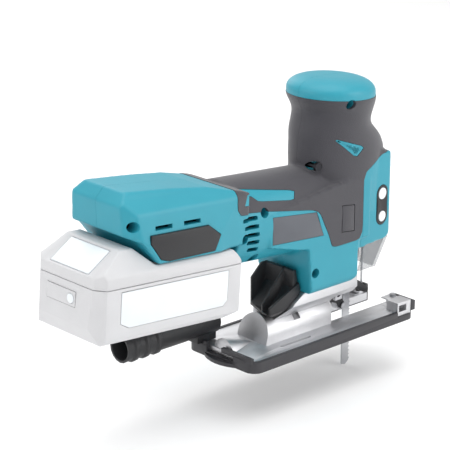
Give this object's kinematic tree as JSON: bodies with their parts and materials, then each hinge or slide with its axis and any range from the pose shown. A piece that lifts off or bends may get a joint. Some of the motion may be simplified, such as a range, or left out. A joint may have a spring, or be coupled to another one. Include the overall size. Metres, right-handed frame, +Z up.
{
  "type": "cordless jigsaw",
  "caption": "Barrel-grip cordless jigsaw: domed front handle, motor barrel, slide-on battery, reciprocating blade in a tilting base.",
  "frame": {"origin": "middle of the sole's underside, on the tool's centre plane", "axes": "+X the cutting direction, along the base; +Y the tool's left; +Z up, away from the work"},
  "size_m": [0.3338, 0.0795, 0.2503],
  "materials": {
    "teal_housing": "fine-grained moulded nylon",
    "soft_grip": "soft over-moulded elastomer with a fine grain",
    "black_plastic": "satin moulded plastic",
    "plate_grey": "printed plate with blank marks",
    "dark_steel": "blackened steel",
    "pale_gloss": "smooth moulded plastic",
    "smoky_clear": "smoky clear polycarbonate",
    "cast_aluminium": "bead-blasted casting",
    "bright_steel": "ground steel",
    "bronze": "sintered bronze",
    "copper_winding": "enamelled copper on laminations",
    "circuit_board": "solder mask",
    "pale_case": "pale moulded case",
    "cell_wrap": "heat-shrink sleeve"
  },
  "bodies": {
    "body": {"housing_right": "teal_housing", "housing_left": "teal_housing", "grip_right": "soft_grip", "grip_left": "soft_grip", "side_trim_right": "black_plastic", "side_trim_left": "black_plastic", "rating_plate": "plate_grey", "housing_screw_rear": "dark_steel", "housing_screw_barrel_top": "dark_steel", "housing_screw_barrel_rear": "dark_steel", "housing_screw_barrel_low": "dark_steel", "housing_screw_neck": "dark_steel", "housing_screw_cap": "dark_steel", "housing_screw_gear_block": "dark_steel", "front_cover": "teal_housing", "control_panel": "black_plastic", "mode_window": "pale_gloss", "lamp_lens": "smoky_clear", "gear_housing": "cast_aluminium", "clamp_bolt": "dark_steel", "lower_bush": "bronze", "upper_bush": "bronze", "wire_guard": "bright_steel", "dust_duct": "black_plastic", "stator": "copper_winding", "rear_bearing": "bright_steel", "front_bearing": "bright_steel", "bearing_plate": "cast_aluminium", "gear_axle": "bright_steel", "controller_board": "circuit_board", "terminal_block": "black_plastic"},
    "base": {"base_plate": "cast_aluminium", "base_cover": "black_plastic", "fence_screw_right": "bright_steel", "fence_screw_left": "bright_steel", "dust_pipe": "black_plastic"},
    "slider": {"slider_rod": "bright_steel", "blade": "bright_steel"},
    "collar": {"clamp_collar": "bright_steel"},
    "arm": {"roller_arm": "black_plastic", "roller_pin": "bright_steel"},
    "roller": {"guide_roller": "bright_steel"},
    "rotor": {"motor_shaft": "bright_steel", "rotor_core": "dark_steel", "cooling_fan": "black_plastic"},
    "gear": {"drive_gear": "bright_steel"},
    "opener": {"tool_opener": "black_plastic"},
    "chip_guard": {"dust_cover": "smoky_clear"},
    "power_key": {"power_button": "pale_gloss"},
    "start_key_right": {"start_pad_right": "soft_grip"},
    "start_key_left": {"start_pad_left": "soft_grip"},
    "orbit_lever": {"orbital_lever": "black_plastic"},
    "battery": {"battery_case": "pale_case", "battery_top": "pale_case", "cell_pack": "cell_wrap", "battery_label_right": "pale_gloss", "battery_label_left": "pale_gloss", "gauge_panel": "black_plastic"},
    "latch": {"battery_latch": "pale_gloss"},
    "check_key": {"check_button": "pale_gloss"}
  },
  "joints": [
    {"name": "base_tilt", "type": "hinge", "parent": "body", "child": "base", "pos_m": [0, 0, 0.0135], "axis": [1, 0, 0], "range_deg": [-45, 45]},
    {"name": "blade_stroke", "type": "slide", "parent": "body", "child": "slider", "axis": [0, 0, 1], "range_m": [-0.013, 0.013]},
    {"name": "collar_turn", "type": "hinge", "parent": "slider", "child": "collar", "pos_m": [0.049, 0, 0.0365], "axis": [0, 0, 1], "range_deg": [0, 60], "stiffness_Nm_per_rad": 0.02, "springref_deg": -17.19},
    {"name": "roller_arm_swing", "type": "hinge", "parent": "body", "child": "arm", "pos_m": [0.032, 0, 0.026], "axis": [0, 1, 0], "range_deg": [0, 8], "stiffness_Nm_per_rad": 0.05, "springref_deg": -5.73},
    {"name": "roller_spin", "type": "hinge", "parent": "arm", "child": "roller", "pos_m": [0.0396, 0, 0.0145], "axis": [0, 1, 0], "continuous": true},
    {"name": "rotor_spin", "type": "hinge", "parent": "body", "child": "rotor", "pos_m": [-0.0815, 0, 0.113], "axis": [0.9972, 0, -0.075], "continuous": true},
    {"name": "gear_spin", "type": "hinge", "parent": "body", "child": "gear", "pos_m": [-0.08299, 0, 0.09318], "axis": [0.9972, 0, -0.075], "continuous": true},
    {"name": "opener_swing", "type": "hinge", "parent": "body", "child": "opener", "pos_m": [0.042, 0, 0.0365], "axis": [0, 1, 0], "range_deg": [-18, 0], "stiffness_Nm_per_rad": 0.03, "springref_deg": 11.46},
    {"name": "chip_guard_slide", "type": "slide", "parent": "body", "child": "chip_guard", "axis": [0, 0, -1], "range_m": [0, 0.014]},
    {"name": "power_press", "type": "slide", "parent": "body", "child": "power_key", "axis": [-0.0982, 0.9952, 0], "range_m": [0, 0.0008], "stiffness_N_per_m": 1500, "springref_m": -0.0006},
    {"name": "start_press_right", "type": "slide", "parent": "body", "child": "start_key_right", "axis": [0, 1, 0], "range_m": [0, 0.0012], "stiffness_N_per_m": 1500, "springref_m": -0.0008},
    {"name": "start_press_left", "type": "slide", "parent": "body", "child": "start_key_left", "axis": [0, -1, 0], "range_m": [0, 0.0012], "stiffness_N_per_m": 1500, "springref_m": -0.0008},
    {"name": "orbit_turn", "type": "hinge", "parent": "body", "child": "orbit_lever", "pos_m": [0.004, 0.033, 0.06], "axis": [0, 1, 0], "range_deg": [0, 90]},
    {"name": "battery_slide", "type": "slide", "parent": "body", "child": "battery", "axis": [-0.9972, 0, 0.075], "range_m": [0, 0.08]},
    {"name": "latch_press", "type": "slide", "parent": "battery", "child": "latch", "axis": [0.5348, 0, -0.845], "range_m": [0, 0.0025], "stiffness_N_per_m": 1200, "springref_m": -0.001},
    {"name": "check_press", "type": "slide", "parent": "battery", "child": "check_key", "axis": [0.9972, 0, -0.075], "range_m": [0, 0.001], "stiffness_N_per_m": 1000, "springref_m": -0.0006}
  ],
  "couplings": [
    {"joint": "gear_spin", "follows": "rotor_spin", "ratio": -0.17778}
  ]
}
